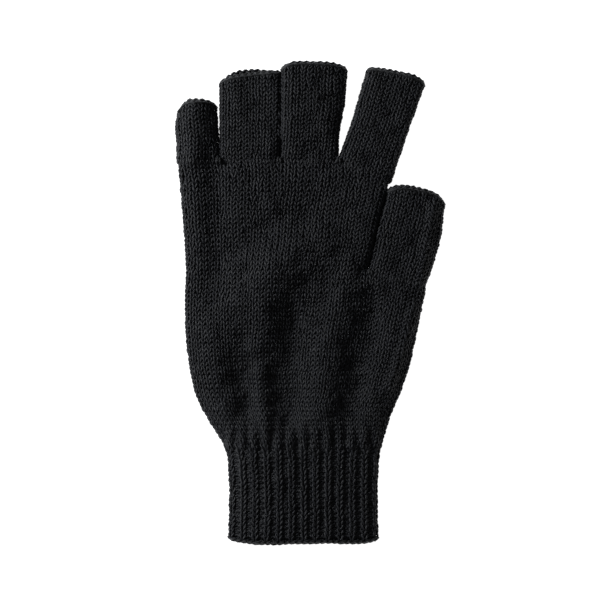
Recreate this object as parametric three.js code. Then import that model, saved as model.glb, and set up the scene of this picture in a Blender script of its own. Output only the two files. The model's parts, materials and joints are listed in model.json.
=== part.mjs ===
import * as THREE from 'three';

// A knitted fingerless glove lying flat, palm side up, in millimetres with +Z up.
// The fingers point along +Y and the thumb lies in the same plane, on the +X side.
// It is knitted as flattened tubes: a ribbed cuff, the hand, and five open-ended stalls.
// While it is being laid out, x is counted from the cuff's centreline and y from its hem.

// Driving dimensions: cuff
const CUFF_WIDTH = 63;
const CUFF_THICKNESS = 11;
const CUFF_LENGTH = 42;
const CUFF_WALL = 1.9;
const WELT_LENGTH = 3;
const RIB_COUNT = 12;
const RIB_DEPTH = 0.8;
const RIB_CREST_SHARE = 0.45;

// Driving dimensions: hand
const KNIT_THICKNESS = 9;
const WALL = 1.6;
const HAND_LEFT = 50;
const HAND_RIGHT = 51;
const KNUCKLE_LEFT = 52.5;
const ROOT_LINE = 160.5;
const THUMB_CROTCH_X = 27.8;
const THUMB_CROTCH_Y = 113.8;
// Where the hand widens out of the cuff, on each side
const LEFT_WIDENING = { from: 30, to: 85 };
const RIGHT_WIDENING = { from: 28, to: 110 };

// Driving dimensions: stalls. turn swings a whole stall towards +X, and lean slides its mouth
// sideways without turning its root.
const CROTCH_X = { littleRing: -35.4, ringMiddle: -10.2, middleIndex: 14.6 };
const STALL_LENGTH = { little: 25, ring: 37.5, middle: 40.5, index: 43, thumb: 38.5 };
const TURNED_STALL_WIDTH = 24.4;
const INDEX_TURN = THREE.MathUtils.degToRad(19.6);
const THUMB_TURN = THREE.MathUtils.degToRad(12.5);
const LITTLE_LEAN = THREE.MathUtils.degToRad(-3);
const MIDDLE_LEAN = THREE.MathUtils.degToRad(3);
const STALL_GAP = 1.5;
const RIM_LENGTH = 1.8;
const RIM_WALL = 2;

// Small fittings
const GAP = 0.3;
const ELASTIC_THREAD = 0.8;
const ELASTIC_ROWS = 3;
const STITCH_RADIUS = 0.4;
const STITCH_HEIGHT = 5.6;

// How finely the rounded sides and the hand's changing width are drawn
const SIDE_STEPS = 6;
const HAND_STEPS = 6;

const yarnLook = { color: '#18191b', roughness: 0.96, metalness: 0 };
const elasticLook = { color: '#101112', roughness: 0.8, metalness: 0 };

const glove = new THREE.Group();

function addPiece(name, geometry, look, parent = glove) {
  const mesh = new THREE.Mesh(geometry, new THREE.MeshStandardMaterial(look));
  mesh.name = name;
  parent.add(mesh);
  return mesh;
}

// Outline of a flattened tube: two straight layers joined by half-round sides. marks are the
// extra places along the layers that get a point of their own.
function ovalOutline(width, thickness, marks = []) {
  const radius = thickness / 2;
  const flatHalf = width / 2 - radius;
  const side = (centreX, startAngle) => Array.from({ length: SIDE_STEPS + 1 }, (_, i) => {
    const angle = startAngle + Math.PI * i / SIDE_STEPS;
    return new THREE.Vector2(centreX + radius * Math.cos(angle), radius * Math.sin(angle));
  });
  const layer = (y, places) => places.map((x) => new THREE.Vector2(x, y));
  return [
    ...layer(-radius, marks),
    ...side(flatHalf, -Math.PI / 2),
    ...layer(radius, [...marks].reverse()),
    ...side(-flatHalf, Math.PI / 2),
  ];
}

// Outline of the cuff: the same flattened tube with the knit ribs standing out of both layers.
function ribbedOutline(width, thickness) {
  const radius = thickness / 2;
  const grooveY = radius - RIB_DEPTH;
  const flatHalf = width / 2 - radius;
  const pitch = 2 * flatHalf / RIB_COUNT;
  const crest = pitch * RIB_CREST_SHARE;
  const flank = (pitch - crest) / 4;
  const layer = [];
  for (let rib = 0; rib < RIB_COUNT; rib += 1) {
    const start = -flatHalf + rib * pitch + flank;
    layer.push([start, grooveY], [start + flank, radius]);
    layer.push([start + flank + crest, radius], [start + 2 * flank + crest, grooveY]);
  }
  const side = (centreX, startAngle) => Array.from({ length: SIDE_STEPS - 1 }, (_, i) => {
    const angle = startAngle + Math.PI * (i + 1) / SIDE_STEPS;
    return new THREE.Vector2(centreX + radius * Math.cos(angle), radius * Math.sin(angle));
  });
  return [
    ...layer.map(([x, y]) => new THREE.Vector2(x, -y)),
    ...side(flatHalf, -Math.PI / 2),
    ...[...layer].reverse().map(([x, y]) => new THREE.Vector2(x, y)),
    ...side(-flatHalf, Math.PI / 2),
  ];
}

// A hollow tube along +Y, from an outer and an inner outline. place(x, share) says where a point
// that is x across the tube, and share of the way along it, lies in plan.
function hollowTube(outer, inner, thickness, steps, place) {
  const shape = new THREE.Shape(outer);
  shape.holes.push(new THREE.Path(inner));
  const geometry = new THREE.ExtrudeGeometry(shape, { depth: 1, steps, bevelEnabled: false });
  const position = geometry.getAttribute('position');
  for (let i = 0; i < position.count; i += 1) {
    const plan = place(position.getX(i), position.getZ(i));
    position.setXYZ(i, plan.x, plan.y, thickness / 2 - position.getY(i));
  }
  geometry.computeVertexNormals();
  return geometry;
}

function straightTube(outer, inner, thickness, from, to) {
  const place = (x, share) => new THREE.Vector2(x, THREE.MathUtils.lerp(from, to, share));
  return hollowTube(outer, inner, thickness, 1, place);
}

// Plan edges of the hand: it widens out of the cuff, more slowly on the thumb side.
function leftEdge(y) {
  const widening = THREE.MathUtils.smoothstep(y, LEFT_WIDENING.from, LEFT_WIDENING.to);
  const low = -THREE.MathUtils.lerp(CUFF_WIDTH / 2, HAND_LEFT, widening);
  const rise = THREE.MathUtils.clamp((y - THUMB_CROTCH_Y) / (ROOT_LINE - THUMB_CROTCH_Y), 0, 1);
  return low - (KNUCKLE_LEFT - HAND_LEFT) * rise;
}

function rightEdgeBelowThumb(y) {
  const widening = THREE.MathUtils.smoothstep(y, RIGHT_WIDENING.from, RIGHT_WIDENING.to);
  return THREE.MathUtils.lerp(CUFF_WIDTH / 2, HAND_RIGHT, widening);
}

function rightEdgeAboveThumb(y) {
  return THUMB_CROTCH_X - STALL_GAP / 2 + (y - THUMB_CROTCH_Y) * Math.tan(THUMB_TURN);
}

// One part of the hand between two lines across it. Its rounded sides keep their shape while the
// layers between them follow the hand's changing width.
function handPart(bottomLine, topLine, rightEdge, marks) {
  const baseY = topLine(0);
  const baseCentre = (leftEdge(baseY) + rightEdge(baseY)) / 2;
  const baseWidth = rightEdge(baseY) - leftEdge(baseY);
  const flatHalf = (baseWidth - KNIT_THICKNESS) / 2;
  const ownMarks = marks.map((x) => x - baseCentre);
  const outer = ovalOutline(baseWidth, KNIT_THICKNESS, ownMarks);
  const inner = ovalOutline(baseWidth - 2 * WALL, KNIT_THICKNESS - 2 * WALL, ownMarks);
  return hollowTube(outer, inner, KNIT_THICKNESS, HAND_STEPS, (x, share) => {
    const y = THREE.MathUtils.lerp(bottomLine, topLine(baseCentre + x), share);
    const centre = (leftEdge(y) + rightEdge(y)) / 2;
    const growth = (rightEdge(y) - leftEdge(y) - baseWidth) / 2;
    return new THREE.Vector2(centre + x + growth * THREE.MathUtils.clamp(x / flatHalf, -1, 1), y);
  });
}

const knuckleLine = (x) => {
  const pastCrotch = Math.max(0, x - CROTCH_X.middleIndex);
  return ROOT_LINE - GAP / 2 - pastCrotch * Math.tan(INDEX_TURN);
};
const thumbLine = (x) => {
  const pastCrotch = Math.max(0, x - THUMB_CROTCH_X);
  return THUMB_CROTCH_Y - GAP / 2 - pastCrotch * Math.tan(THUMB_TURN);
};

addPiece('hand_upper', handPart(
  THUMB_CROTCH_Y + GAP / 2, knuckleLine, rightEdgeAboveThumb, Object.values(CROTCH_X),
), yarnLook);
addPiece('hand_lower', handPart(
  CUFF_LENGTH + GAP / 2, thumbLine, rightEdgeBelowThumb, [THUMB_CROTCH_X],
), yarnLook);

// Cuff: the welt at the hem, the ribbed tube, and the covered elastic threads laid inside it.
const cuffOuter = ribbedOutline(CUFF_WIDTH, CUFF_THICKNESS);
const cuffInner = ovalOutline(CUFF_WIDTH - 2 * CUFF_WALL, CUFF_THICKNESS - 2 * CUFF_WALL);
const weltOuter = ovalOutline(CUFF_WIDTH, CUFF_THICKNESS);
const cuffFrom = WELT_LENGTH + GAP / 2;
const cuffTo = CUFF_LENGTH - GAP / 2;
addPiece('cuff_welt', straightTube(
  weltOuter, cuffInner, CUFF_THICKNESS, 0, WELT_LENGTH - GAP / 2,
), yarnLook);
addPiece('rib_cuff', straightTube(
  cuffOuter, cuffInner, CUFF_THICKNESS, cuffFrom, cuffTo,
), yarnLook);

const elasticInset = 2 * (CUFF_WALL + GAP);
const elasticOuter = ovalOutline(CUFF_WIDTH - elasticInset, CUFF_THICKNESS - elasticInset);
const elasticInner = ovalOutline(
  CUFF_WIDTH - elasticInset - 2 * ELASTIC_THREAD,
  CUFF_THICKNESS - elasticInset - 2 * ELASTIC_THREAD,
);
for (let row = 0; row < ELASTIC_ROWS; row += 1) {
  const y = THREE.MathUtils.lerp(cuffFrom, cuffTo, (row + 0.5) / ELASTIC_ROWS);
  const geometry = straightTube(
    elasticOuter, elasticInner, CUFF_THICKNESS, y - ELASTIC_THREAD / 2, y + ELASTIC_THREAD / 2,
  );
  addPiece(`cuff_elastic_${row + 1}`, geometry, elasticLook);
}

// Stalls: each starts at its own root line and ends in a bound-off rim round its open mouth.
function addStall(name, { root, width, turn = 0, lean = 0 }) {
  const length = STALL_LENGTH[name];
  const holder = new THREE.Group();
  holder.position.set(root.x, root.y, 0);
  holder.rotation.z = -turn;
  glove.add(holder);
  const outer = ovalOutline(width, KNIT_THICKNESS);
  const tube = (wall, from, to) => hollowTube(
    outer,
    ovalOutline(width - 2 * wall, KNIT_THICKNESS - 2 * wall),
    KNIT_THICKNESS,
    1,
    (x, share) => {
      const along = THREE.MathUtils.lerp(from, to, share);
      return new THREE.Vector2(x + along * Math.tan(lean), along);
    },
  );
  addPiece(`${name}_stall`, tube(WALL, GAP, length - RIM_LENGTH - GAP / 2), yarnLook, holder);
  addPiece(`${name}_rim`, tube(RIM_WALL, length - RIM_LENGTH + GAP / 2, length), yarnLook, holder);
}

function rootBetween(leftX, rightX) {
  const root = new THREE.Vector2((leftX + rightX) / 2, ROOT_LINE);
  return { root, width: rightX - leftX - STALL_GAP };
}

// A stall that swings away from a crotch starts with its corner there and its root turned.
function rootFromCrotch(crotchX, crotchY, turn) {
  const half = TURNED_STALL_WIDTH / 2;
  const root = new THREE.Vector2(crotchX + half * Math.cos(turn), crotchY - half * Math.sin(turn));
  return { root, width: TURNED_STALL_WIDTH - STALL_GAP, turn };
}

const littleRoot = rootBetween(-KNUCKLE_LEFT - STALL_GAP / 2, CROTCH_X.littleRing);
addStall('little', { ...littleRoot, lean: LITTLE_LEAN });
addStall('ring', rootBetween(CROTCH_X.littleRing, CROTCH_X.ringMiddle));
const middleRoot = rootBetween(CROTCH_X.ringMiddle, CROTCH_X.middleIndex);
addStall('middle', { ...middleRoot, lean: MIDDLE_LEAN });
addStall('index', rootFromCrotch(CROTCH_X.middleIndex, ROOT_LINE, INDEX_TURN));
addStall('thumb', rootFromCrotch(THUMB_CROTCH_X, THUMB_CROTCH_Y, THUMB_TURN));

// Closing stitches: a short upright bundle of yarn in the fork between two stalls.
function addClosingStitch(name, x, y) {
  const straight = STITCH_HEIGHT - 2 * STITCH_RADIUS;
  const geometry = new THREE.CapsuleGeometry(STITCH_RADIUS, straight, 3, 8);
  geometry.rotateX(Math.PI / 2);
  const stitch = addPiece(name, geometry, yarnLook);
  stitch.position.set(x, y + STITCH_RADIUS + GAP, KNIT_THICKNESS / 2);
}

addClosingStitch('closing_stitch_little_ring', CROTCH_X.littleRing, ROOT_LINE);
addClosingStitch('closing_stitch_ring_middle', CROTCH_X.ringMiddle, ROOT_LINE);
addClosingStitch('closing_stitch_middle_index', CROTCH_X.middleIndex, ROOT_LINE);
addClosingStitch('closing_stitch_thumb', THUMB_CROTCH_X, THUMB_CROTCH_Y);

// The row's origin is the middle of the glove's box, on the surface that it rests on.
const box = new THREE.Box3().setFromObject(glove);
const centre = box.getCenter(new THREE.Vector3());
glove.position.set(-centre.x, -centre.y, -box.min.z);

export default glove;
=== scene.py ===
import json
import math

import bpy
import numpy as np
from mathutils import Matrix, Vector


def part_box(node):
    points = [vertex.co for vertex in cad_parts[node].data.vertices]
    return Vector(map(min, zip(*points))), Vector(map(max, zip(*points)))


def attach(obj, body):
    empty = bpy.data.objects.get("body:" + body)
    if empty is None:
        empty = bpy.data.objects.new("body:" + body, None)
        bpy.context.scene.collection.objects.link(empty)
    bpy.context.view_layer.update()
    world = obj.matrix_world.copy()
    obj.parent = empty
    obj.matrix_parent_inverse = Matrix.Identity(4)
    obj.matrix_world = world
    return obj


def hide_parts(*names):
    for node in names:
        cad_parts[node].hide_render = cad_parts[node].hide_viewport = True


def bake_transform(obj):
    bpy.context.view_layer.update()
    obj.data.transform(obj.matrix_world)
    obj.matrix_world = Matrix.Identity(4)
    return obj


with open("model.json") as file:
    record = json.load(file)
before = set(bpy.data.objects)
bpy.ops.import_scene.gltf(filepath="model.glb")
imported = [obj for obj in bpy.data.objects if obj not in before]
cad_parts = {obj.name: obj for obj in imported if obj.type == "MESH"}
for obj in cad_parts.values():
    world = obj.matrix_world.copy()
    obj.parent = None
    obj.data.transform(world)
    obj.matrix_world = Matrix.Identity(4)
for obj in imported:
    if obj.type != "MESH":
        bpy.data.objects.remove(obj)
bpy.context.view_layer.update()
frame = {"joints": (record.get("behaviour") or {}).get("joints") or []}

# Everything below is worked out in millimetres in a plan of its own, with x counted from the
# cuff's centreline and y from its hem, and goes into the frame's metres when a mesh is made.
MM = 0.001
hem_low, hem_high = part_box("cuff_welt")
PLAN_ORIGIN = np.array([(hem_low.x + hem_high.x) / 2, hem_low.y, 0.0]) / MM
THUMB_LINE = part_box("hand_upper")[0].y / MM - PLAN_ORIGIN[1]
KNUCKLE_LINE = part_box("hand_upper")[1].y / MM - PLAN_ORIGIN[1]
CUFF_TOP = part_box("rib_cuff")[1].y / MM - PLAN_ORIGIN[1]

# Yarn and stitch. A wale is a column of stitches and a course is a row of them.
YARN_RADIUS = 0.5
YARN_SIDES = 6
LOOP_STEPS = 14            # points of yarn in one stitch
LOOP_DEPTH = 0.5           # how far a loop's legs stand in front of its head and feet
LOOP_SWING = 0.265         # how far a leg leans, as a share of a wale
LEG_CLOSING = 0.02         # how far the two legs of a loop draw together, likewise
LOOP_REACH = 0.88          # how far a loop reaches up and down, as a share of a course
STITCH_NOISE = 0.11        # how much the stitches differ
WALE_NOISE = 0.6           # how much of that moves a stitch sideways
COURSE_NOISE = 0.5         # and up or down
FULL_WALE = 2.4            # a wale's width where the yarn has its full thickness
YARN_RANGE = (0.8, 1.08)   # the thinnest and thickest yarn, as a share of that
COURSE = 1.9               # a course's height in the hand
STALL_COURSE = 1.74        # in the stalls
CUFF_COURSE = 2.1          # and in the cuff

# The felted skin inside the yarn: the heights of its two faces, and how far its ends reach past
# the courses that it belongs to, as a share of a course
SKIN_OUTER, SKIN_INNER = -0.25, -0.7
SKIN_OVERLAP = 0.1
SKIN_RIB = 0.9             # how far the skin follows the rib
SKIN_LAYOUT = 0.3          # the skin's room in the bake layout, for each course

# Wales round each tube
HAND_LOWER_WALES = 84
HAND_UPPER_WALES = 64
CUFF_WALES = 50
COURSES_PER_PIECE = 11     # at most, in the hand

# How finely the shells that carry the yarn are divided
SHELL_ROWS = 2             # rows for each course
HAND_COLUMNS, STALL_COLUMNS, CUFF_COLUMNS = 4, 5, 8    # columns for each wale

# Heights of the layers' middle surfaces above the table, and their half distance
CUFF_MID, CUFF_HALF = 5.5, 3.6
HAND_MID, HAND_HALF = 4.6, 3.2
STALL_MID, STALL_HALF = 4.4, 2.8
HAND_EASING = 18.0         # the length over which one passes into the next
STALL_TAPER = 0.12         # how much thinner a stall is at its mouth, as a share

# Squareness of the sections: 2 is an ellipse, and more is squarer. Pairs are left and right.
TOP_SQUARENESS = 3.2
UNDER_SQUARENESS = 4.0
CUFF_SQUARENESS = (2.0, 1.6)
ROOT_SQUARENESS = 3.0
CUFF_SQUARENESS_REACH = 16.0    # the length above the cuff over which its squareness is lost
FORK_SQUARENESS = 3.0           # what the hand's side gains beside the thumb
FORK_SQUARENESS_START = 0.3     # the share of the length over which it gains that

# How far the fabric's middle lies inside the outline, at plain knit and at the rib, and where
# round the cuff's top it passes from one to the other
OUTLINE_INSET = 0.55
RIB_INSET = 1.0
INSET_START, INSET_END = -5.0, 7.0

# The rib
RIB_HEIGHT = 0.26          # how far knit wales stand out and purl wales stand back
RIB_STEEPNESS = 2.2        # how abruptly one turns into the other
RIB_LOOP_DEPTH = 0.36      # a loop's depth in the rib
RIB_SPREAD = 0.35          # how strongly knit wales widen and purl wales narrow
RIB_TOP_FADE = 0.3         # what the rib loses over its last courses, as a share
RIB_TOP_COURSES = 3        # how many those are
RIB_ECHO = 0.55            # how far the ribs still show where the hand starts
RIB_ECHO_LENGTH = 14.0     # over what length they fade
RIB_ECHO_SIDE = 3.0        # how far beside the cuff they are lost

# The hem: its corners curve up, and its edge waves a little. The fades are rates for one cuff length.
HEM_CORNER_RISE = 2.2
HEM_CORNER_PLACE = 32.0
HEM_CORNER_SHARPNESS = 8
HEM_CORNER_FADE = 14
HEM_WAVE = 0.35
HEM_WAVE_PITCH = 0.16
HEM_WAVE_PHASE = 0.8
HEM_WAVE_FADE = 10

# Where the layers close towards the forks
CLOSING_LENGTH = 9.0
PINCH_SHARPNESS = 3.0
PINCH_LEAST = 0.72         # the thickness that stays at a fork, as a share
PINCH_SIDE = 5.0           # how far from the outer edges that thickness is reached

# Where two pieces lie side by side, both edges slant to the right, so that one leans over the other
FORK_LEAN = 0.8
FORK_LEAN_REACH = 6.0
LEAN_START = 0.2           # the share of the length over which it starts to lean
STALL_LEAN_FROM = 0.5      # how far out from a stall's middle it starts, 1 being the edge

# A stall has its own section from this share of its length on
STALL_SECTION_START = 0.35

# A stall's mouth
MOUTH_CORNER_SHARPNESS = 4
MOUTH_BACK_SHIFT = 0.5     # how much more of the lower layer shows on the left

# Bound-off edges
RIM_LENGTH = 2.3           # what the chain takes of a stall's length
RIM_OVERHANG = 0.7         # roughly how far the chain lies past the last course
RIM_LEAN = math.radians(35)
RIM_SCALLOP = 0.3
HEM_PLACE = 0.6            # how far up the cuff the hem's chain lies, in courses
HEM_LEAN = math.radians(-55)
HEM_SCALLOP = 0.2
CHAIN_WIDTH = 2.0
CHAIN_REACH = 0.95         # how far a loop reaches along the edge, as a share of its pitch
CHAIN_DEPTH = 0.8          # a chain loop's depth as a share of a stitch's
CHAIN_YARN = 0.92          # its yarn's thickness, likewise
CHAIN_STEP = 0.02          # how far along the shell its outward direction is taken

# The rings of covered elastic, which lie inside the rib
ELASTIC_RADIUS = 0.4
ELASTIC_HEIGHT = -2.0
ELASTIC_STEPS = 260

# The two loops that close a fork: the place of a loop's middle beside the fork, its half axis
# along the plan, and its other half axis's slant and extra reach through the two layers
CLOSING_LOOPS = [
    ((-0.75, -0.6), (0.3, 1.5, 0), 0.25, 0.0),
    ((0.75, -0.9), (-0.3, 1.4, 0), -0.2, 0.1),
]
CLOSING_OVERHANG = 0.35    # how far both reach past the layers' middle surfaces
RING_STEPS = 28

rng = np.random.default_rng(11)


def smoothstep(low, high, value):
    """0 up to low, 1 from high on, and a smooth rise between them."""
    share = np.clip((value - low) / (high - low), 0, 1)
    return share * share * (3 - 2 * share)


def through(points, where):
    """A smooth curve through a few (place, value) points, which keeps its end values beyond them."""
    places, values = np.array(points, float).T
    slopes = np.gradient(values, places)
    where = np.clip(where, places[0], places[-1])
    span = np.clip(np.searchsorted(places, where) - 1, 0, len(places) - 2)
    gap = places[span + 1] - places[span]
    part = (where - places[span]) / gap
    return (
        values[span] * (1 + 2 * part) * (1 - part) ** 2
        + slopes[span] * gap * part * (1 - part) ** 2
        + values[span + 1] * part * part * (3 - 2 * part)
        + slopes[span + 1] * gap * part * part * (part - 1)
    )


# ---------------------------------------------------------------- surfaces

class Shell:
    """A closed tube of points, rows along it and columns round it, left side first, then over
    the top. place() puts things on it by turns round, share along and height above it."""

    def __init__(self, points):
        self.points = points
        around = np.roll(points, -1, 1) - np.roll(points, 1, 1)
        along = np.gradient(points, axis=0)
        normals = np.cross(around, along)
        self.normals = normals / np.linalg.norm(normals, axis=2, keepdims=True)

    def _sample(self, grid, turns, share):
        rows, columns = grid.shape[:2]
        across = (turns % 1.0) * columns
        column = np.floor(across).astype(int)
        past_column = (across - column)[..., None]
        column, next_column = column % columns, (column + 1) % columns
        up = share * (rows - 1)
        row = np.clip(np.floor(up).astype(int), 0, rows - 2)
        past_row = (up - row)[..., None]
        low = grid[row, column] * (1 - past_column) + grid[row, next_column] * past_column
        high = grid[row + 1, column] * (1 - past_column) + grid[row + 1, next_column] * past_column
        return low * (1 - past_row) + high * past_row

    def girth(self, share):
        last = len(self.points) - 1
        row = self.points[int(np.clip(round(share * last), 0, last))]
        return np.linalg.norm(np.roll(row, -1, 0) - row, axis=1).sum()

    def place(self, turns, share, height=0.0):
        normals = self._sample(self.normals, turns, share)
        normals = normals / np.linalg.norm(normals, axis=-1, keepdims=True)
        height = np.broadcast_to(height, turns.shape)[..., None]
        return self._sample(self.points, turns, share) + normals * height, normals


OVAL_ANGLES = np.linspace(np.pi, -np.pi, 721)


def oval_row(left, right, squareness, shape_row, columns):
    """One row of a shell, with its points evenly spaced. shape_row(x, rise) turns the points of
    the section into points of the plan; rise is 1 on the upper layer, -1 on the lower one and
    in between round the sides."""
    across, up = np.cos(OVAL_ANGLES), np.sin(OVAL_ANGLES)
    top_squareness = np.where(across < 0, *squareness)
    power = np.where(up >= 0, 2 / top_squareness, 2 / UNDER_SQUARENESS)
    x = (left + right) / 2 + (right - left) / 2 * np.sign(across) * np.abs(across) ** power
    rise = np.sign(up) * np.abs(up) ** power
    row = shape_row(x, rise)
    steps = np.linalg.norm(np.diff(row, axis=0), axis=1)
    length = np.concatenate([[0], np.cumsum(steps)])
    even = np.arange(columns) / columns * length[-1]
    return np.stack([np.interp(even, length, row[:, k]) for k in range(3)], axis=1)


# Plan edges of the hand, as (distance from the hem, distance from the cuff's centreline)
LEFT_EDGE = [
    (0, -31.8), (30, -31.8), (38, -32.6), (44, -35.0), (52, -39.8), (60, -44.2), (70, -46.9),
    (86, -49.0), (102, -49.6), (114, -49.1), (124, -49.5), (140, -50.7), (162, -52.6),
]
RIGHT_EDGE = [
    (0, 31.4), (30, 31.4), (38, 32.1), (46, 34.1), (54, 36.7), (62, 40.2), (70, 43.1),
    (84, 46.6), (96, 48.9), (104, 50.6), (114, 51.6),
]
FORK_EDGE = [(112, 26.2), (124, 28.6), (132, 30.4), (140, 32.6), (152, 35.8), (162, 38.4)]

# The upper layer's relief: crests and hollows along a path in the plan, with their reach to the
# left and right of it and their height. Those that end near the cuff are the gathers where the
# rib draws the hand in.
FOLDS = [
    ([(5, 129), (-8, 121)], 10.0, 9.0, 2.2),                          # middle of the palm
    ([(-13, 113), (-19, 100), (-20.5, 86)], 10.0, 8.0, 3.4),          # the palm's long crest
    ([(-4, 93), (-6, 76), (-5.5, 56)], 7.0, 3.5, -2.2),               # hollow right of it
    ([(-18.5, 71), (-16, 50)], 1.6, 2.4, 1.6),                        # narrow gather
    ([(-25, 86), (-26, 70), (-24, 56)], 5.5, 3.5, -2.8),              # hollow left of it
    ([(-39, 90), (-37, 70), (-33.5, 58)], 5.0, 5.0, 1.9),             # crest near the left edge
    ([(-31, 56), (-30, 46), (-29.5, 36)], 3.5, 6.0, 1.7),             # the wrist's left side
    ([(19.5, 113), (13.5, 96), (8.5, 77), (7, 55)], 3.4, 7.0, 2.3),   # crest from the thumb fork
    ([(29, 100), (28.5, 88), (24.5, 72), (20.5, 53)], 6.0, 3.0, -2.2),    # hollow right of it
    ([(41, 92), (34.5, 74), (28.5, 50)], 6.0, 3.5, 1.2),              # crest near the right edge
    ([(-30, 121), (-14, 131), (4, 139)], 4.0, 8.0, -2.0),             # trough across the palm
    ([(-46.5, 184), (-45.5, 162), (-44.5, 112)], 3.0, 4.5, 1.5),      # left side, from the little stall
    ([(-36.5, 158), (-37, 136), (-39, 108)], 5.0, 5.0, -1.9),         # hollow right of it
    ([(32.8, 148), (28.6, 132), (25.6, 117)], 3.4, 1.4, 0.9),         # the hand beside the thumb
    ([(-18, 154), (-14, 140)], 6.0, 6.0, 0.5),                        # below the ring stall
    ([(-6.6, 195), (-7.2, 163)], 1.0, 2.2, 0.7),                      # the middle stall's left side
    ([(54, 141), (50.5, 121), (48.6, 110)], 1.1, 1.7, 1.6),           # the thumb's rolled side
    ([(45.4, 98), (43.6, 89.5), (36, 66)], 1.2, 1.7, 3.4),            # the hand's rolled side
    ([(50, 192), (42.5, 172), (36, 155)], 1.0, 1.5, 1.2),             # the index stall's rolled side
    ([(-23, 0), (-23, 44)], 5.0, 12.0, 1.4),                          # the cuff's left side
]

# A faint unevenness all over: waves with a pitch, a direction and a phase each
RIPPLE_HEIGHT = 0.1
RIPPLE_COUNT = 9
RIPPLES = [
    (rng.uniform(0.25, 0.9), rng.uniform(0, 2 * np.pi), rng.uniform(0, 2 * np.pi))
    for _ in range(RIPPLE_COUNT)
]


def fold_height(x, y):
    """How far the folds and ripples lift the upper layer at a place of the plan."""
    height = np.zeros_like(x)
    for path, reach_left, reach_right, rise in FOLDS:
        nearest = np.full_like(x, np.inf)
        side = np.zeros_like(x)
        for start, end in zip(np.array(path[:-1], float), np.array(path[1:], float)):
            way = end - start
            share = np.clip(((x - start[0]) * way[0] + (y - start[1]) * way[1]) / (way @ way), 0, 1)
            dx = x - start[0] - share * way[0]
            dy = y - start[1] - share * way[1]
            away = np.hypot(dx, dy)
            side = np.where(away < nearest, dx, side)
            nearest = np.minimum(nearest, away)
        lean = smoothstep(-1, 1, side / np.maximum(nearest, 1e-6))
        reach = reach_left + (reach_right - reach_left) * lean
        height += rise * np.exp(-nearest ** 2 / (2 * reach ** 2))
    for pitch, turn, phase in RIPPLES:
        height += RIPPLE_HEIGHT * np.sin(pitch * (x * np.cos(turn) + y * np.sin(turn)) + phase)
    return height


def layered(x, y, rise, mid, half):
    """Points of the two layers: rise is 1 on the upper layer and -1 on the lower one."""
    z = mid + half * rise + fold_height(x, y) * np.clip(rise, 0, 1) ** 2
    return np.stack([x, y, z], axis=1)


def stall_joint(body):
    """A stall's root in the plan, and the directions along its hinge and along the stall."""
    joint = next(j for j in frame["joints"] if j["child"] == body)
    root = np.array(joint["pos_m"]) / MM - PLAN_ORIGIN
    across = np.array(joint["axis"], float)
    return root[:2], across[:2], np.array([-across[1], across[0]])


def line_through(body, level):
    """A line across the hand that is level up to the fork and then follows a turned root."""
    root, across, _ = stall_joint(body)
    slope = across[1] / across[0]
    fork = root[0] + (level - root[1]) / slope

    def line(x):
        return level + slope * np.maximum(0, x - fork)

    return line


knuckle_line = line_through("index", KNUCKLE_LINE)
thumb_line = line_through("thumb", THUMB_LINE)


def pinch(x, forks):
    """The section the two layers close to: one lobe between each two forks, from side to side."""
    forks = [x.min(), *forks, x.max()]
    lobes = np.zeros_like(x)
    for low, high in zip(forks[:-1], forks[1:]):
        centred = np.abs(2 * (x - low) / (high - low) - 1)
        lobe = np.maximum(1 - centred ** PINCH_SHARPNESS, 0) ** (1 / PINCH_SHARPNESS)
        lobes = np.where((x >= low) & (x <= high), lobe, lobes)
    between = smoothstep(0, PINCH_SIDE, x - forks[0]) * smoothstep(0, PINCH_SIDE, forks[-1] - x)
    return np.maximum(lobes, PINCH_LEAST * between)


def inset(y):
    """How far the fabric's middle lies inside the outline."""
    plain = smoothstep(CUFF_TOP + INSET_START, CUFF_TOP + INSET_END, y)
    return RIB_INSET + (OUTLINE_INSET - RIB_INSET) * plain


def eased(cuff, hand, stall, y):
    """A value that passes from the cuff's to the hand's, and then to the stalls'."""
    low = cuff + (hand - cuff) * smoothstep(CUFF_TOP, CUFF_TOP + HAND_EASING, y)
    return low + (stall - hand) * smoothstep(KNUCKLE_LINE - HAND_EASING, KNUCKLE_LINE, y)


def hand_mid(y):
    """The height of the hand's middle above the table."""
    return eased(CUFF_MID, HAND_MID, STALL_MID, y)


def hand_half(y):
    """Half the distance between its layers."""
    return eased(CUFF_HALF, HAND_HALF, STALL_HALF, y)


def rib_echo(x, y):
    """The ribs run on straight up from the cuff and fade into the hand."""
    left, right = LEFT_EDGE[0][1], RIGHT_EDGE[0][1]
    wale = (x - left) / (right - left) * CUFF_WALES / 2
    inside = smoothstep(left - RIB_ECHO_SIDE, left, x) * smoothstep(-right - RIB_ECHO_SIDE, -right, -x)
    fading = 1 - smoothstep(CUFF_TOP, CUFF_TOP + RIB_ECHO_LENGTH, y)
    return RIB_ECHO * inside * fading * np.cos(np.pi * (wale - 0.5))


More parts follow.
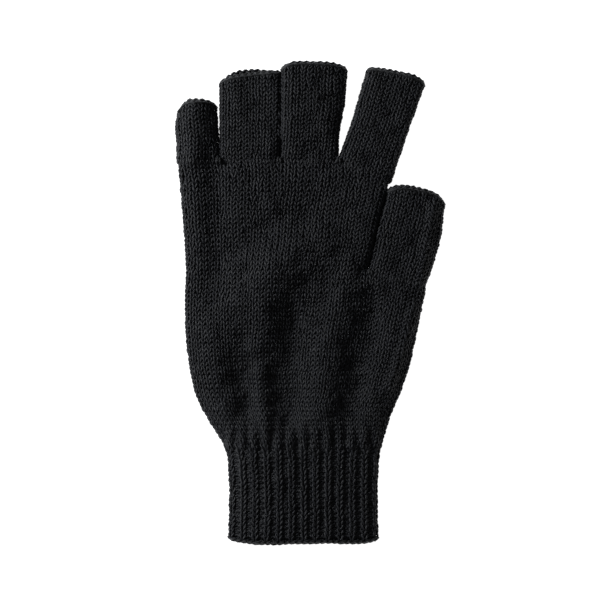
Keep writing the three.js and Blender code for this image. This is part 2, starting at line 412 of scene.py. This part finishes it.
def hand_shell(bottom, top_line, right_edge, forks, rows, columns, fork_squareness=0.0, fork_lean=0.0):
    """The hand from one level up to a line, where its layers close between the forks. The last
    two are what its right side gains where a stall lies beside it."""
    length = top_line(np.array([0.0]))[0] - bottom
    right_length = top_line(np.array([right_edge[-1][1]]))[0] - bottom
    points = []
    for share in np.linspace(0, 1, rows):
        level = bottom + length * share
        closing = smoothstep(1 - CLOSING_LENGTH / length, 1, share)

        def shape_row(x, rise):
            y = bottom + (top_line(x) - bottom) * share
            closed_rise = np.sign(rise) * pinch(x, forks)
            rise = rise + (closed_rise - rise) * closing
            row = layered(x, y, rise, hand_mid(y), hand_half(level))
            beside = smoothstep(x.max() - FORK_LEAN_REACH, x.max(), x)
            row[:, 0] += fork_lean * rise * beside * smoothstep(0, LEAN_START, share) * (1 - closing)
            row[:, 2] += rib_echo(x, y) * np.sign(rise)
            return row

        left = float(through(LEFT_EDGE, level)) + inset(level)
        right = float(through(right_edge, bottom + right_length * share)) - inset(level)
        flatter = smoothstep(CUFF_TOP, CUFF_TOP + CUFF_SQUARENESS_REACH, level)
        squareness = [own + (TOP_SQUARENESS - own) * flatter for own in CUFF_SQUARENESS]
        squareness[1] += fork_squareness * smoothstep(0, FORK_SQUARENESS_START, share)
        points.append(oval_row(left, right, squareness, shape_row, columns))
    return Shell(np.array(points))


def fork_x(fork):
    """The middle of a fork's closing stitches in the CAD, as a place of the plan."""
    low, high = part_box(f"closing_stitch_{fork}")
    return (low.x + high.x) / 2 / MM - PLAN_ORIGIN[0]


KNUCKLE_FORKS = [fork_x(fork) for fork in ("little_ring", "ring_middle", "middle_index")]
THUMB_FORKS = [fork_x("thumb")]


def cuff_shell(rows, columns):
    """The cuff from the hem up to the hand."""
    points = []
    for share in np.linspace(0, 1, rows):
        y = CUFF_TOP * share

        def shape_row(x, rise):
            corner = np.abs(x / HEM_CORNER_PLACE) ** HEM_CORNER_SHARPNESS
            round_off = HEM_CORNER_RISE * np.exp(-share * HEM_CORNER_FADE) * corner
            wave = np.sin(x * HEM_WAVE_PITCH + HEM_WAVE_PHASE)
            hem_wave = HEM_WAVE * np.exp(-share * HEM_WAVE_FADE) * wave
            edge_y = np.full_like(x, y) + round_off + hem_wave
            return layered(x, edge_y, rise, CUFF_MID, CUFF_HALF)

        left = float(through(LEFT_EDGE, y)) + inset(y)
        right = float(through(RIGHT_EDGE, y)) - inset(y)
        points.append(oval_row(left, right, CUFF_SQUARENESS, shape_row, columns))
    return Shell(np.array(points))


# Each stall: its edges, as (share along it, distance from its root's middle); its length at the
# middle; how far its mouth tilts up to the right; how far the mouth's corners drop; how far the
# lower layer's mouth stands past the upper one's; its wales; and, at its left and right, its
# squareness, how far it is raised above the table and how far its edge slants to the right.
STALLS = {
    "little": {
        "left": [(0, -8.6), (0.5, -9.0), (0.75, -9.4), (1, -8.6)],
        "right": [(0, 9.1), (0.35, 8.95), (0.6, 8.5), (1, 7.9)],
        "length": 25.4, "tilt": 0.2, "drop": (4.0, 1.6), "back": 1.2,
        "wales": 15, "squareness": (1.9, 1.9), "raise": (0.0, 0.0), "lean": (0.0, 0.0),
    },
    "ring": {
        "left": [(0, -12.5), (0.5, -12.2), (1, -12.4)],
        "right": [(0, 12.7), (0.5, 12.85), (1, 12.95)],
        "length": 36.6, "tilt": 1.5, "drop": (1.5, 0.6), "back": 2.2,
        "wales": 22, "squareness": (2.8, 7.0), "raise": (0.0, 0.0), "lean": (0.0, 0.8),
    },
    "middle": {
        "left": [(0, -12.0), (0.5, -11.6), (1, -11.45)],
        "right": [(0, 12.2), (0.3, 12.7), (0.6, 14.6), (1, 15.9)],
        "length": 41.2, "tilt": -0.4, "drop": (2.2, 1.6), "back": 0.4,
        "wales": 21, "squareness": (2.8, 2.6), "raise": (2.2, 0.6), "lean": (0.8, 0.0),
    },
    "index": {
        "left": [(0, -12.4), (0.25, -12.2), (0.45, -12.1), (0.7, -12.9), (1, -13.5)],
        "right": [(0, 11.6), (0.3, 11.3), (1, 11.2)],
        "length": 43.5, "tilt": 1.7, "drop": (0.5, 1.9), "back": 0.9,
        "wales": 21, "squareness": (2.8, 3.0), "raise": (0.0, 0.0), "lean": (0.0, 0.0),
    },
    "thumb": {
        "left": [(0, -12.9), (0.25, -13.2), (0.55, -13.3), (0.8, -12.85), (1, -12.6)],
        "right": [(0, 11.8), (0.3, 13.1), (0.6, 13.5), (1, 12.2)],
        "length": 38.8, "tilt": 0.3, "drop": (2.6, 3.2), "back": 0.7,
        "wales": 22, "squareness": (4.2, 2.6), "raise": (1.0, 0.2), "lean": (0.8, 0.0),
    },
}


def stall_shell(name, rows, columns):
    """A stall starts with the hand's section at its root and passes into its own."""
    stall = STALLS[name]
    root, across, along = stall_joint(name)
    points = []
    for share in np.linspace(0, 1, rows):
        left = float(through(stall["left"], share)) + OUTLINE_INSET
        right = float(through(stall["right"], share)) - OUTLINE_INSET
        own = smoothstep(0, STALL_SECTION_START, share)
        half = hand_half(root[1]) * (1 - own) + STALL_HALF * (1 - STALL_TAPER * share) * own
        middle = hand_mid(root[1]) * (1 - own) + STALL_MID * own

        def shape_row(place, rise):
            norm = (2 * place - left - right) / (right - left)
            beside = np.where(norm < 0, *stall["lean"]) * smoothstep(STALL_LEAN_FROM, 1, np.abs(norm))
            place = place + beside * rise * smoothstep(0, LEAN_START, share)
            drop = np.where(norm < 0, *stall["drop"]) * norm ** MOUTH_CORNER_SHARPNESS
            back = stall["back"] * np.clip(-rise, 0, 1) * (1 - norm ** 2) * (1 - MOUTH_BACK_SHIFT * norm)
            mouth = stall["length"] - RIM_LENGTH + stall["tilt"] * norm - drop + back
            plan = root + place[:, None] * across + (mouth * share)[:, None] * along
            row = layered(plan[:, 0], plan[:, 1], rise, middle, half)
            left_up, right_up = stall["raise"]
            row[:, 2] += (left_up + (right_up - left_up) * (norm + 1) / 2) * own
            return row

        squareness = [
            ROOT_SQUARENESS + (value - ROOT_SQUARENESS) * own for value in stall["squareness"]
        ]
        points.append(oval_row(left, right, squareness, shape_row, columns))
    return Shell(np.array(points))


# ---------------------------------------------------------------- meshes

# A quad's corners, as steps on from its own point in the two directions of its grid
QUAD_CORNERS = ((0, 0), (1, 0), (1, 1), (0, 1))
LAYOUT_MARGIN = 1.05       # leaves room between the yarns in the bake layout


class Piece:
    """Gathers tubes and skins, and makes one mesh object of them. Each part brings its corners'
    place along and round the yarn, and a layout of its own for baking maps."""

    def __init__(self):
        self.points, self.quads, self.ply, self.layout, self.weights = [], [], [], [], []
        self.total = 0

    def add(self, points, quads, ply, layout, weight):
        self.points.append(points.reshape(-1, 3))
        self.quads.append(quads.reshape(-1, 4) + self.total)
        self.ply.append(ply.reshape(-1, 2))
        self.layout.append(layout.reshape(-1, 2))
        self.weights.append(weight)
        self.total += len(self.points[-1])

    def make(self, name, material):
        points = (np.concatenate(self.points) + PLAN_ORIGIN) * MM
        quads = np.concatenate(self.quads)
        floor = 0.0
        for layout, weight in zip(self.layout, self.weights):
            share = weight / sum(self.weights)
            layout[:, 1] = floor + layout[:, 1] * share
            floor += share
        mesh = bpy.data.meshes.new(name)
        mesh.vertices.add(len(points))
        mesh.vertices.foreach_set("co", points.astype(np.float32).ravel())
        mesh.loops.add(quads.size)
        mesh.loops.foreach_set("vertex_index", quads.astype(np.int32).ravel())
        mesh.polygons.add(len(quads))
        mesh.polygons.foreach_set("loop_start", np.arange(len(quads), dtype=np.int32) * 4)
        mesh.update(calc_edges=True)
        mesh.shade_smooth()
        for layer, values in (("OFBake", self.layout), ("ply", self.ply)):
            uv = mesh.uv_layers.new(name=layer)
            uv.data.foreach_set("uv", np.concatenate(values).astype(np.float32).ravel())
        mesh.materials.append(material)
        piece = bpy.data.objects.new(name, mesh)
        bpy.context.scene.collection.objects.link(piece)
        return piece


def add_tubes(piece, centres, normals, radius, closed=True):
    """Yarns as tubes: centres and normals are (yarns, points, 3) and radius (yarns, points)."""
    if closed:
        way = np.roll(centres, -1, 1) - np.roll(centres, 1, 1)
    else:
        way = np.gradient(centres, axis=1)
    way = way / np.linalg.norm(way, axis=2, keepdims=True)
    side = np.cross(way, normals)
    side = side / np.linalg.norm(side, axis=2, keepdims=True)
    front = np.cross(side, way)
    angles = 2 * np.pi * np.arange(YARN_SIDES) / YARN_SIDES
    ring = side[:, :, None] * np.cos(angles)[:, None] + front[:, :, None] * np.sin(angles)[:, None]
    points = centres[:, :, None] + ring * np.broadcast_to(radius, centres.shape[:2])[..., None, None]

    yarns, steps = centres.shape[:2]
    spans = steps if closed else steps - 1
    yarn, step, facet = np.meshgrid(
        np.arange(yarns), np.arange(spans), np.arange(YARN_SIDES), indexing="ij"
    )

    def corner(along, around):
        return (yarn * steps + (step + along) % steps) * YARN_SIDES + (facet + around) % YARN_SIDES

    quads = np.stack([corner(*on) for on in QUAD_CORNERS], axis=-1).reshape(-1, 4)
    places = [np.stack([step + along, facet + around], axis=-1) for along, around in QUAD_CORNERS]
    places = np.stack(places, axis=-2).astype(float)
    ply = places / np.array([LOOP_STEPS, YARN_SIDES])
    layout = places / np.array([spans, YARN_SIDES * LAYOUT_MARGIN])
    layout[..., 1] = (layout[..., 1] + yarn[..., None]) / yarns
    ply, layout = ply.reshape(-1, 4, 2), layout.reshape(-1, 4, 2)
    if not closed:
        # Two quads close each six-sided end
        cap = np.array([[0, 1, 2, 3], [0, 3, 4, 5]])
        first = np.arange(yarns)[:, None] * steps * YARN_SIDES
        last = first + (steps - 1) * YARN_SIDES
        caps = np.concatenate([first[:, None] + cap, last[:, None] + cap[:, ::-1]]).reshape(-1, 4)
        unused = np.zeros((len(caps), 4, 2))
        quads = np.concatenate([quads, caps])
        ply = np.concatenate([ply, unused])
        layout = np.concatenate([layout, unused])
    piece.add(points, quads, ply, layout, yarns)


def rib_relief(wale, height):
    """Knit wales stand out and purl wales stand back."""
    wave = np.cos(np.pi * (wale - 0.5))
    return height * np.tanh(RIB_STEEPNESS * wave) / math.tanh(RIB_STEEPNESS)


def rib_spread(wale):
    """Where a wale of the rib comes to lie: knit wales open up and purl wales close."""
    return wale + RIB_SPREAD * np.sin(np.pi * (wale - 0.5)) / np.pi


def add_skin(piece, shell, wales, courses, first, last, rib):
    """The felted fibres between the stitches: a thin closed tube inside the yarn."""
    rows = 2 * (last - first) + 1
    columns = wales * (4 if rib else 2)
    low, high = (first - SKIN_OVERLAP) / courses, (last + SKIN_OVERLAP) / courses
    turns, share = np.meshgrid(np.arange(columns) / columns, np.linspace(low, high, rows))
    relief = rib_relief(turns * wales, rib * SKIN_RIB)
    if rib:
        turns = rib_spread(turns * wales) / wales
    outer = shell.place(turns, share, relief + SKIN_OUTER)[0]
    inner = shell.place(turns, share, relief + SKIN_INNER)[0]
    points = np.stack([outer, inner])
    face, row, column = np.meshgrid([0, 1], np.arange(rows - 1), np.arange(columns), indexing="ij")

    def corner(on_column, on_row):
        return (face * rows + row + on_row) * columns + (column + on_column) % columns

    quads = np.stack([corner(*on) for on in QUAD_CORNERS], axis=-1)
    quads[1] = quads[1, ..., ::-1]
    cells = 2 * (rows - 1) * columns
    ends = []
    here = np.arange(columns)
    after = (here + 1) % columns
    for edge, flip in ((0, False), (rows - 1, True)):
        outside, inside = edge * columns, (rows + edge) * columns
        corners = [outside + here, inside + here, inside + after, outside + after]
        end = np.stack(corners, axis=-1)
        ends.append(end[:, ::-1] if flip else end)
    quads = np.concatenate([quads.reshape(-1, 4)] + ends)
    places = [
        np.stack([column + on_column, face * rows + row + on_row], axis=-1)
        for on_column, on_row in QUAD_CORNERS
    ]
    layout = np.zeros((len(quads), 4, 2))
    layout[:cells] = (np.stack(places, axis=-2) / np.array([columns, 2 * rows])).reshape(-1, 4, 2)
    piece.add(points, quads, np.zeros((len(quads), 4, 2)), layout, (last - first) * SKIN_LAYOUT)


def stitch_noise(courses, wales):
    """A smooth random value per stitch, carried along each course."""
    values = rng.normal(size=(courses, wales))
    place = np.arange(wales * LOOP_STEPS) / LOOP_STEPS
    stitch = np.floor(place).astype(int)
    past = smoothstep(0, 1, place - stitch)
    return (values[:, stitch % wales] * (1 - past) + values[:, (stitch + 1) % wales] * past) * STITCH_NOISE


def knit(piece, shell, wales, courses, first, last, rib):
    """The courses first to last of a shell that has wales round it and courses along it. rib is
    how far knit wales stand out and purl wales stand back."""
    t = 2 * np.pi * np.arange(wales * LOOP_STEPS) / LOOP_STEPS
    rows = np.arange(first, last)
    sideways, taller, higher, deeper = [stitch_noise(len(rows), wales) for _ in range(4)]
    swing = LOOP_SWING * np.sin(2 * t) - LEG_CLOSING * np.sin(t)
    wale = 0.5 + t / (2 * np.pi) + swing + sideways * WALE_NOISE
    course = rows[:, None] + 0.5 + LOOP_REACH * (1 + taller) * np.cos(t) + higher * COURSE_NOISE
    depth = -(RIB_LOOP_DEPTH if rib else LOOP_DEPTH) * np.cos(2 * t) + deeper
    if rib:
        fade = 1 - RIB_TOP_FADE * smoothstep(courses - RIB_TOP_COURSES, courses, rows)[:, None]
        depth = rib_relief(wale, 1.0) * (rib * fade + depth)
        wale = rib_spread(wale)
    centres, normals = shell.place(wale / wales, course / courses, depth)
    widths = np.array([shell.girth((row + 0.5) / courses) for row in rows])[:, None] / wales
    radius = YARN_RADIUS * (1 + sideways) * np.clip(np.sqrt(widths / FULL_WALE), *YARN_RANGE)
    add_tubes(piece, centres, normals, radius)


def knit_band(name, shell, wales, courses, first, last, material, rib=0.0):
    piece = Piece()
    knit(piece, shell, wales, courses, first, last, rib)
    add_skin(piece, shell, wales, courses, first, last, rib)
    return piece.make(name, material)


def chain(piece, shell, loops, share, lean, scallop):
    """A bound-off edge: one chain of loops lying along the mouth, one for each wale."""
    tau = np.linspace(-np.pi, np.pi, LOOP_STEPS + 3)
    loop = np.arange(loops)[:, None]
    jitter = rng.normal(size=(loops, 1)) * STITCH_NOISE
    along = (loop + 0.5 + CHAIN_REACH * np.cos(tau) * (1 + jitter)) / loops
    across = CHAIN_WIDTH * (tau / (2 * np.pi) + LOOP_SWING * np.sin(2 * tau))
    height = -LOOP_DEPTH * CHAIN_DEPTH * np.cos(2 * tau) + np.zeros_like(along)
    base, normals = shell.place(along, np.full_like(along, share))
    outwards = shell.place(along, np.full_like(along, share + CHAIN_STEP))[0] - base
    outwards = outwards / np.linalg.norm(outwards, axis=-1, keepdims=True)
    face = normals * math.cos(lean) + outwards * math.sin(lean)
    wide = outwards * math.cos(lean) - normals * math.sin(lean)
    bob = scallop * np.cos(2 * np.pi * along * loops)
    centres = base + wide * (across + bob)[..., None] + face * height[..., None]
    add_tubes(piece, centres, face, YARN_RADIUS * CHAIN_YARN * (1 + jitter), closed=False)


def yarn_rings(piece, rings):
    """Closed loops of yarn given as (centre, first half axis, second half axis)."""
    t = 2 * np.pi * np.arange(RING_STEPS) / RING_STEPS
    centres, normals = [], []
    for centre, one, two in rings:
        out = np.cos(t)[:, None] * np.array(one) + np.sin(t)[:, None] * np.array(two)
        centres.append(np.array(centre) + out)
        normals.append(out / np.linalg.norm(out, axis=1, keepdims=True))
    add_tubes(piece, np.array(centres), np.array(normals), YARN_RADIUS)


# ---------------------------------------------------------------- materials

def yarn_material(name, colour, sheen, ply_turns=2.6):
    """Brushed yarn: two twisted plies, a haze of fibre, and uneven dye. ply_turns is the twist
    in one stitch's length of yarn."""
    material = bpy.data.materials.new(name)
    material.use_nodes = True
    nodes, links = material.node_tree.nodes, material.node_tree.links
    shader = nodes["Principled BSDF"]
    shader.inputs["Specular IOR Level"].default_value = 0.4
    shader.inputs["Sheen Weight"].default_value = sheen
    shader.inputs["Sheen Roughness"].default_value = 0.45
    shader.inputs["Sheen Tint"].default_value = (0.86, 0.92, 1.0, 1)

    place = nodes.new("ShaderNodeTexCoord")
    ply = nodes.new("ShaderNodeUVMap")
    ply.uv_map = "ply"
    split = nodes.new("ShaderNodeSeparateXYZ")
    links.new(ply.outputs["UV"], split.inputs["Vector"])

    def math_node(kind, first, second=None):
        node = nodes.new("ShaderNodeMath")
        node.operation = kind
        for socket, value in zip(node.inputs, (first, second)):
            if isinstance(value, (int, float)):
                socket.default_value = value
            elif value is not None:
                links.new(value, socket)
        return node.outputs[0]

    def add(first, second):
        return math_node("ADD", first, second)

    def times(first, second):
        return math_node("MULTIPLY", first, second)

    def noise(scale, detail, rough):
        node = nodes.new("ShaderNodeTexNoise")
        node.inputs["Scale"].default_value = scale
        node.inputs["Detail"].default_value = detail
        node.inputs["Roughness"].default_value = rough
        links.new(place.outputs["Object"], node.inputs["Vector"])
        return node.outputs["Fac"]

    # The twist shows as bands that run slantwise round the yarn: the bump raises the plies, and the colour
    # carries painted shade in the grooves between them and painted light on their crowns. The three
    # noises, with scales for each metre, are the fibres, changes from loop to loop and patches of uneven
    # dye.
    twist = add(times(split.outputs["X"], ply_turns), split.outputs["Y"])
    strands = math_node("ABSOLUTE", math_node("SINE", times(twist, 2 * math.pi)))
    fibre = noise(3200, 3, 0.7)
    loops = noise(420, 2, 0.6)
    patch = noise(90, 3, 0.6)

    # Colour: painted shade between the strands and painted light on them, and darker or lighter at random
    # with the fibres
    ramp = nodes.new("ShaderNodeValToRGB")
    for element, position, share in zip(ramp.color_ramp.elements, (0.32, 0.7), (0.3, 2.1)):
        element.position = position
        element.color = (*[channel * share for channel in colour], 1)
    fine = add(times(fibre, 0.4), times(loops, 0.4))
    blend = add(fine, times(patch, 0.2))
    # Painted shade in the grooves between the plies and painted light on their crowns
    ply_groove_shade = times(math_node("SUBTRACT", strands, 0.6), 0.22)
    links.new(add(blend, ply_groove_shade), ramp.inputs["Fac"])
    links.new(ramp.outputs["Color"], shader.inputs["Base Color"])

    rough = nodes.new("ShaderNodeMapRange")
    rough.inputs["To Min"].default_value = 0.45
    rough.inputs["To Max"].default_value = 0.75
    links.new(fibre, rough.inputs["Value"])
    links.new(rough.outputs["Result"], shader.inputs["Roughness"])

    bump = nodes.new("ShaderNodeBump")
    bump.inputs["Strength"].default_value = 0.8
    bump.inputs["Distance"].default_value = 0.00022
    links.new(add(times(strands, 0.7), times(fibre, 0.5)), bump.inputs["Height"])
    links.new(bump.outputs["Normal"], shader.inputs["Normal"])
    return material


plain_yarn = yarn_material("plain_knit_yarn", (0.0057, 0.0061, 0.0085), sheen=0.04)
rib_yarn = yarn_material("rib_knit_yarn", (0.0052, 0.0056, 0.0078), sheen=0.035)
edge_yarn = yarn_material("bound_off_yarn", (0.0115, 0.0119, 0.0134), sheen=0.09)
elastic_yarn = yarn_material("covered_elastic", (0.006, 0.006, 0.007), sheen=0.1, ply_turns=9)


# ---------------------------------------------------------------- the glove


def make_hand_part(name, node, shell, wales, courses, first_course):
    """The hand is cut into bands of whole courses, so that no mesh is too heavy."""
    bands = math.ceil(courses / COURSES_PER_PIECE)
    cuts = np.linspace(0, courses, bands + 1).round().astype(int)
    cuts[0] = first_course
    for band, (first, last) in enumerate(zip(cuts[:-1], cuts[1:])):
        piece = knit_band(f"{name}_{band + 1}", shell, wales, courses, first, last, plain_yarn)
        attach(piece, "hand")
        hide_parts(node)


def make_hand():
    """The lower hand starts a course early, so that its first stitches hold on to the rib. The
    stalls do the same with the upper hand."""
    courses = round((THUMB_LINE - CUFF_TOP) / COURSE)
    lower = hand_shell(CUFF_TOP, thumb_line, RIGHT_EDGE, THUMB_FORKS, SHELL_ROWS * courses,
                       HAND_COLUMNS * HAND_LOWER_WALES)
    make_hand_part("knit_hand_lower", "hand_lower", lower, HAND_LOWER_WALES, courses, -1)
    courses = round((KNUCKLE_LINE - THUMB_LINE) / COURSE)
    upper = hand_shell(THUMB_LINE, knuckle_line, FORK_EDGE, KNUCKLE_FORKS, SHELL_ROWS * courses,
                       HAND_COLUMNS * HAND_UPPER_WALES, FORK_SQUARENESS, FORK_LEAN)
    make_hand_part("knit_hand_upper", "hand_upper", upper, HAND_UPPER_WALES, courses, 0)


def make_stall(name):
    stall = STALLS[name]
    wales = stall["wales"]
    courses = round((stall["length"] - RIM_LENGTH) / STALL_COURSE)
    shell = stall_shell(name, SHELL_ROWS * courses, STALL_COLUMNS * wales)
    tube = knit_band(f"knit_{name}_stall", shell, wales, courses, -1, courses, plain_yarn)
    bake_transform(tube)
    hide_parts(f"{name}_stall")

    rim = Piece()
    chain(rim, shell, wales, 1.0 + RIM_OVERHANG / stall["length"], RIM_LEAN, RIM_SCALLOP)
    rim = rim.make(f"chain_{name}_rim", edge_yarn)
    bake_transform(rim)
    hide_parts(f"{name}_rim")


def make_cuff():
    courses = round(CUFF_TOP / CUFF_COURSE)
    shell = cuff_shell(SHELL_ROWS * courses, CUFF_COLUMNS * CUFF_WALES)
    cuff = knit_band("knit_rib_cuff", shell, CUFF_WALES, courses, 1, courses, rib_yarn, RIB_HEIGHT)
    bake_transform(cuff)
    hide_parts("rib_cuff")

    welt = Piece()
    chain(welt, shell, CUFF_WALES, HEM_PLACE / courses, HEM_LEAN, HEM_SCALLOP)
    welt = welt.make("chain_cuff_welt", rib_yarn)
    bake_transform(welt)
    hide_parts("cuff_welt")

    for row in (1, 2, 3):
        low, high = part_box(f"cuff_elastic_{row}")
        share = ((low.y + high.y) / 2 / MM - PLAN_ORIGIN[1]) / CUFF_TOP
        turns = np.arange(ELASTIC_STEPS)[None] / ELASTIC_STEPS
        centres, normals = shell.place(turns, np.full_like(turns, share), ELASTIC_HEIGHT)
        thread = Piece()
        add_tubes(thread, centres, normals, ELASTIC_RADIUS)
        thread = thread.make(f"covered_elastic_{row}", elastic_yarn)
        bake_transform(thread)
        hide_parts(f"cuff_elastic_{row}")


def make_closing_stitches():
    for fork in ("little_ring", "ring_middle", "middle_index", "thumb"):
        node = f"closing_stitch_{fork}"
        x = fork_x(fork)
        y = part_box(node)[0].y / MM - PLAN_ORIGIN[1]
        depth = hand_half(y) + CLOSING_OVERHANG
        rings = []
        for (beside, above), half_axis, slant, deeper in CLOSING_LOOPS:
            middle = (x + beside, y + above, hand_mid(y))
            rings.append((middle, half_axis, (slant, 0, depth + deeper)))
        stitch = Piece()
        yarn_rings(stitch, rings)
        stitch = stitch.make(f"yarn_{node}", edge_yarn)
        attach(stitch, "hand")
        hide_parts(node)


# ---------------------------------------------------------------- camera, light and floor

# All of these are in the frame's metres, except for the lens
LENS, SENSOR_WIDTH = 85, 36
VIEW_WIDTH = 0.251         # how much the picture's width shows
VIEW_CENTRE = (-0.0042, 0.0013)
VIEW_LEVEL = 0.005         # the height above the table where it shows that
FLOOR_SIZE = 3.0
FLOOR_LEVEL = -0.0006      # a little below the glove


def make_camera():
    camera = bpy.data.cameras.new("camera")
    camera.lens = LENS
    camera.sensor_width = SENSOR_WIDTH
    camera.clip_start = 0.05
    camera.clip_end = 20
    camera_object = bpy.data.objects.new("camera", camera)
    bpy.context.scene.collection.objects.link(camera_object)
    distance = VIEW_WIDTH / 2 / (SENSOR_WIDTH / 2 / LENS)
    camera_object.location = (*VIEW_CENTRE, distance + VIEW_LEVEL)
    bpy.context.scene.camera = camera_object


def make_area_light(name, location, size, watts, colour=(1, 1, 1)):
    """A round soft light that points at the frame's origin."""
    light = bpy.data.lights.new(name, "AREA")
    light.shape = "DISK"
    light.size = size
    light.energy = watts
    light.color = colour
    light_object = bpy.data.objects.new(name, light)
    light_object.location = location
    direction = -Vector(location)
    light_object.rotation_euler = direction.to_track_quat("-Z", "Y").to_euler()
    bpy.context.scene.collection.objects.link(light_object)


def make_floor():
    mesh = bpy.data.meshes.new("floor")
    corners = [(x * FLOOR_SIZE, y * FLOOR_SIZE, 0) for x, y in ((-1, -1), (1, -1), (1, 1), (-1, 1))]
    mesh.from_pydata(corners, [], [(0, 1, 2, 3)])
    floor = bpy.data.objects.new("floor", mesh)
    floor.location.z = FLOOR_LEVEL
    material = bpy.data.materials.new("paper")
    material.use_nodes = True
    shader = material.node_tree.nodes["Principled BSDF"]
    shader.inputs["Base Color"].default_value = (0.9, 0.9, 0.9, 1)
    shader.inputs["Roughness"].default_value = 0.9
    shader.inputs["Emission Color"].default_value = (1, 1, 1, 1)
    shader.inputs["Emission Strength"].default_value = 1.0
    mesh.materials.append(material)
    bpy.context.scene.collection.objects.link(floor)


def make_light():
    world = bpy.data.worlds.new("studio")
    world.use_nodes = True
    background = world.node_tree.nodes["Background"]
    background.inputs["Color"].default_value = (1, 1, 1, 1)
    background.inputs["Strength"].default_value = 0.05
    bpy.context.scene.world = world
    make_area_light("key", (-0.88, 0.36, 0.43), 0.3, 10.2, (0.95, 0.98, 1.0))
    make_area_light("fill", (0.3, -0.5, 1.2), 1.0, 0.8)
    bpy.context.scene.view_settings.view_transform = "Standard"


make_camera()
make_floor()
make_light()
make_hand()
make_cuff()
for stall_name in STALLS:
    make_stall(stall_name)
make_closing_stitches()
